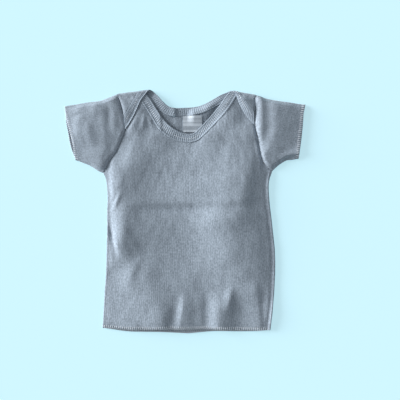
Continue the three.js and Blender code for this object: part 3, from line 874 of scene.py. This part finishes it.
def sleeve_height(side, u, w):
    """The height over both layers: full at the shoulder, and less at the cuff and low down."""
    lines = SLEEVE_LINES[side]
    down = np.maximum.accumulate(lines["front_armhole"][:, 1])
    start = np.interp(w, down, lines["front_armhole"][:, 0])
    end = np.interp(w, lines["front_cuff"][:, 1], lines["front_cuff"][:, 0])
    part = np.clip((u - start) / np.maximum(end - start, 5), 0, 1)
    shoulder = 2.7 + 2.3 * smoothstep(74, 90, sleeve_level(side, u, w))
    return shoulder + (2.9 - shoulder) * part


def lay_sleeve(q, u, side):
    """Places of the middle of the cloth, for points of the flat sleeve."""
    corner, along, up, top = sleeve_axes(side)
    lines = SLEEVE_LINES[side]
    fold = np.interp(u, top[:, 0], top[:, 1])
    bottom = np.interp(u, lines["bottom"][:, 0], lines["bottom"][:, 1])
    sign = np.where(q * OVER[side] > 0, 1, -1)
    round_top = np.abs(q)
    high = sleeve_height(side, u, np.maximum(round_top - 2.2, 0))
    radius = high / 2 - 0.6
    w = round_top - radius * math.pi / 2
    turn = np.clip(round_top / radius, 0, math.pi / 2)
    roll = np.clip((w - bottom) / radius, 0, math.pi / 2)
    down = np.where(w < 0, -radius * np.cos(turn), np.minimum(w, bottom) + radius * np.sin(roll))
    z = high / 2 + sign * radius * np.where(w < 0, np.sin(turn), np.cos(roll))
    plan = corner + np.outer(u, along) + (fold - down)[:, None] * up
    edge = distance_to(lines["front_armhole"], u, w)
    inside = smoothstep(0, 6, np.minimum(round_top, bottom - w)) * (sign > 0)
    seam = 0.2 * bump_at(edge, 3.6, 2.2) + STAND[side] * bump_at(edge, 0, 1.4)
    lift = inside * crease_height(SLEEVE_CREASES, *plan.T) * smoothstep(0, 2, edge)
    lift += inside * seam * smoothstep(4, 14, w)
    end = np.interp(w, lines["back_cuff"][:, 1], lines["back_cuff"][:, 0])
    lift += CURL[side] * smoothstep(end - 3.5, end, u) * smoothstep(8, 20, w) * (sign < 0)
    return np.column_stack([plan, z + lift])


def sleeve_outline(side):
    """The sleeve's outline in the flat cut, once round."""
    path = [("front_cuff", 1, 1), ("bottom", -1, 1), ("front_armhole", -1, 1),
            ("back_armhole", 1, -1), ("bottom", 1, -1), ("back_cuff", -1, -1)]
    parts = []
    for key, order, layer in path:
        u, w = SLEEVE_LINES[side][key][::order].T
        quarter = (sleeve_height(side, u, w) / 2 - 0.6) * math.pi / 2
        below = 0.97 * quarter if key == "bottom" else 0
        parts.append(np.column_stack([OVER[side] * layer * (w + quarter + below), u]))
    return np.vstack(parts)


OVER = {"left": -1, "right": 1}
STAND = {"left": -0.3, "right": 0.9}
CURL = {"left": 1.5, "right": 0.3}
SLEEVE_OUTLINE = {side: sleeve_outline(side) for side in SIDES}
for side, line in SLEEVE_OUTLINE.items():
    print(side, "sleeve cut", np.ptp(line, axis=0).round(), "mm")

# %% [markdown]
# ## Cutting and laying the sleeves
# The sleeves are made as the panels were. Their ribs are raised less, because their cloth is drawn
# flatter, and their small waves run round them.

# %% Cutting and laying the sleeves
sleeves = {}
for side in SIDES:
    line = SLEEVE_OUTLINE[side]
    columns = np.arange(line[:, 0].min() - 1, line[:, 0].max() + 1, RIB / 4)
    rows = spaced([(line[:, 1].min() - 2, line[:, 1].max() + 2, 2.2)])
    sleeves[side] = cut_sheet("laid_sleeve_" + side, line, columns, rows)
    lay_sheet(sleeves[side], partial(lay_sleeve, side=side), 0, 0.03, sleeve_knit)

# %% [markdown]
# ## Neck bands
# Each neck edge is bound with a strip of the same rib knit, folded over the raw edge, so its ribs
# run across the band. A band is thicker in its middle than at its edges. It is a long narrow grid
# between the neck seam and the free edge, laid with its panel, so it folds over the shoulder with
# the lap. A group of weights makes Solidify thinner at both edges, which rounds them.

# %% Bands
BAND_ROWS = 18
BAND_STEP = BAND_RIB / 6


def band_lines(name):
    """The neck seam and the free edge in the flat cut, with equal steps along the band's middle."""
    pair = []
    for key in ("seam", "edge"):
        left, right = upper_line(name, "left", key), upper_line(name, "right", key)
        pair.append(np.vstack([left[::-1], right[1:]]))
    along = lengths((pair[0] + pair[1]) / 2)
    steps = np.arange(0, along[-1], BAND_STEP)
    return steps, *(places_at(steps, along, line) for line in pair)


def band_shape(name, along, t, x):
    """How far a band stands up: rolled edges, a sunk row of stitching, and its joins."""
    rolls = 0.55 * bump_at(t, 0.07, 0.08) + 0.55 * bump_at(t, 0.95, 0.06)
    shape = rolls - 0.14 * bump_at(t, 0.47, 0.07) - 0.25 * bump_at(t, 0.22, 0.08)
    if name == "front":
        # The free edge stands up between the left shoulder and the join.
        shape = shape + 0.7 * t * smoothstep(-50, -44, x) * (1 - smoothstep(-28.5, -27, x))
    if name == "back":
        # On both laps the band is pressed flat. Its free edge curls up on the left one, and lies
        # low at both ends.
        left, right = 1 - smoothstep(38, 46, along), smoothstep(162, 170, along)
        shape = shape * (1 - 0.85 * left - 0.85 * right)
        shape = shape + 0.8 * left * smoothstep(0.87, 0.98, t)
        shape = shape - 0.9 * t * (1 - smoothstep(24, 38, along) + 1.1 * smoothstep(170, 182, along))
        # Left of the neck the free edge stands up. Right of the label the seam does.
        shape = shape + 2.6 * t * smoothstep(48, 57, along) * (1 - smoothstep(-26, -10, x))
        tilt = 1.4 * bump_at(t, 0.35, 0.4) - 1.3 * t
        shape = shape + tilt * smoothstep(2, 10, x) * (1 - smoothstep(30, 44, x))
    for at, rise, low, high in BAND_JOINS[name]:
        shape = shape + rise * np.where(x < at, bump_at(x, at, low), bump_at(x, at, high))
    return shape


# Where each band is joined, seen across: x, rise, and the widths of its left and right sides.
BAND_JOINS = {"front": [(-27.5, 0.6, 8, 1.2)], "back": [(-11.8, 1.7, 6, 0.9)]}


def neck_band(name, wall):
    """A bound neck edge, laid with its panel."""
    steps, seam, edge = band_lines(name)
    band = new_grid("laid_band_" + name, len(steps), BAND_ROWS + 1)
    across = (1 - np.cos(np.linspace(0, math.pi, BAND_ROWS + 1))) / 2
    along, t = (v.ravel() for v in np.meshgrid(steps, across))
    index = np.tile(np.arange(len(steps)), BAND_ROWS + 1)
    place = seam[index] + (edge - seam)[index] * t[:, None]
    map_cut(band, along, t * 9.6)
    rib = 0.17 * np.cos(2 * math.pi * along / BAND_RIB) * np.sin(math.pi * np.clip(t, 0.03, 0.97))
    laid = raised(partial(lay_panel, name=name), *place.T, rib)
    laid[:, 2] += 0.12 + band_shape(name, along, t, laid[:, 0])
    move_points(band, laid)
    group = band.vertex_groups.new(name="fullness")
    for i, weight in enumerate(1 - np.abs(2 * t - 1) ** 5):
        group.add([i], float(weight), "REPLACE")
    give_wall(band, wall, rib_binding, vertex_group="fullness", thickness_vertex_group=0.35)
    return band


bands = {"front": neck_band("front", 1.5), "back": neck_band("back", 1.3)}

# %% [markdown]
# ## Label
# A care label is a short piece of satin tape, sewn in under the back of the neck band. It is a
# fine grid whose lower end lifts off the back a little. It is plain, with woven stripes only.

# %% Label
columns = np.linspace(LABEL["left"], LABEL["right"], 45)
rows = np.linspace(LABEL["bottom"], LABEL["top"], 37)
label = new_grid("laid_label", len(columns), len(rows))
x, y = (v.ravel() for v in np.meshgrid(columns, rows))
free = (LABEL["top"] - y) / (LABEL["top"] - LABEL["bottom"])
z = 1.65 + 0.7 * free ** 2 + 0.12 * np.sin((x + 2.4) * 0.42) * free + neck_lift(x, y)
move_points(label, np.column_stack([x, y, z]))
map_cut(label, x, y)
give_wall(label, 0.35, woven_tape)
bpy.ops.object.shade_smooth_by_angle(angle=math.radians(40))

# %% [markdown]
# ## Sewing
# The hem and the cuffs are finished with an overlock: a thread that zigzags over the raw edge and
# shows on both faces. The bands are held by a row of short stitches. A thread is a line with a
# round bevel. It follows the flat cut, and is carried to the laid cloth as the cloth was. Real
# thread is 0.3 mm thick; it is drawn 0.5 mm thick, so that it shows.

# %% Threads
THREAD = 0.25
STITCH = 2.3
STITCH_HEIGHT = {"front": 0.62, "back": 0.5}


def thread(name, points):
    """A round thread through points, as a mesh."""
    curve = bpy.data.curves.new(name, "CURVE")
    curve.dimensions = "3D"
    spline = curve.splines.new("POLY")
    spline.points.add(len(points) - 1)
    spline.points.foreach_set("co", np.column_stack([points * MM, np.ones(len(points))]).ravel())
    curve.bevel_depth = THREAD * MM
    curve.bevel_resolution = 1
    curve.use_fill_caps = True
    piece = bpy.data.objects.new(name, curve)
    bpy.context.collection.objects.link(piece)
    pick(piece)
    bpy.ops.object.convert(target="MESH")
    press_flat(piece)
    piece.data.materials.append(sewing_thread)
    return piece


def overlock(name, line, lay, side):
    """A zigzag thread over a raw edge. side is the way into the cloth, left of the line or right."""
    along = lengths(line)
    # One stitch: how far along, how far in from the edge, and how high off the middle of the cloth.
    unit = np.array([(0.0, 3.4, 0.62), (0.3, 0.6, 0.66), (0.42, -0.1, 0.5), (0.5, -0.3, 0.0),
                     (0.58, -0.1, -0.5), (0.7, 0.6, -0.66), (0.95, 3.4, -0.62), (0.98, 3.4, 0.0)])
    count = int(along[-1] / STITCH)
    s = ((np.arange(count)[:, None] + unit[:, 0]) * STITCH).ravel()
    ahead = places_at(s + 0.5, along, line) - places_at(s - 0.5, along, line)
    ahead /= np.hypot(*ahead.T)[:, None]
    inward = side * np.column_stack([-ahead[:, 1], ahead[:, 0]])
    place = places_at(s, along, line) + inward * np.tile(unit[:, 1], count)[:, None]
    return thread(name, raised(lay, *place.T, np.tile(unit[:, 2], count)))


def topstitch(name, band_name, t, height, first, last):
    """A row of short stitches along a band, a share t of the way across it."""
    steps, seam, edge = band_lines(band_name)
    s = np.arange(first, last, STITCH / 6)
    place = places_at(s, steps, seam + (edge - seam) * t)
    wave = height + 0.28 * np.cos(2 * math.pi * s / STITCH) * np.sign(height)
    points = raised(partial(lay_panel, name=band_name), *place.T, wave)
    points[:, 2] += 0.12 + band_shape(band_name, s, t, points[:, 0])
    return thread(name, points)


threads = {}
for name in PANELS:
    hems = [smooth_line(HALVES[name, side]["hem"], 80) for side in SIDES]
    hem = np.vstack([hems[0], hems[1][::-1][1:]])
    threads[name] = overlock("overlock_hem_" + name, hem, partial(lay_panel, name=name), 1)
for side, line in SLEEVE_OUTLINE.items():
    cuff = np.vstack([line[:61][::-1], line[-61:][::-1]])
    lay = partial(lay_sleeve, side=side)
    threads["sleeve_" + side] = overlock("overlock_cuff_" + side, cuff, lay, OVER[side])
for name in PANELS:
    last = band_lines(name)[0][-1] - 3
    height = UP[name] * STITCH_HEIGHT[name]
    threads["neck_binding_" + name] = topstitch("stitches_band_" + name, name, 0.47, height, 3, last)
print({node: len(row.data.polygons) for node, row in threads.items()})

# %% [markdown]
# ## Handing the pieces to the frame
# Each piece stands for one solid of the frame and moves with its one body. For each sheet the
# size of the rectangle that it was cut from is printed. A band bends round the neck, so its
# rectangle is the straight strip that it was before: as long as the band, and as wide as its
# area over that length, but no less than 10.2 mm. The tool takes no sheet under 10 mm wide, so
# that strip is declared 10.2 mm wide.

# %% Handing over the pieces
NARROWEST = 10.2 * MM


def declare(node, piece, outline, length=None):
    """Hands a piece and its thread to the frame, and states its cut."""
    row = threads[node]
    for part in (piece, row):
        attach(part, "root")
    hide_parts(node)
    wide, long = np.ptp(outline, axis=0) * MM
    area = abs(area_of(outline)) * MM * MM
    if length:
        long = length * MM
        wide = max(area / long, NARROWEST)
    print(node, "flat", round(wide / MM), "by", round(long / MM), "mm")


for name, panel in panels.items():
    declare(name, panel, OUTLINE[name])
for side, sleeve in sleeves.items():
    declare("sleeve_" + side, sleeve, SLEEVE_OUTLINE[side])
for name, band in bands.items():
    steps, seam, edge = band_lines(name)
    declare("neck_binding_" + name, band, np.vstack([seam, edge[::-1]]), steps[-1])
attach(label, "root")
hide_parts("label")
width, length = (LABEL["right"] - LABEL["left"]) * MM, (LABEL["top"] - LABEL["bottom"]) * MM
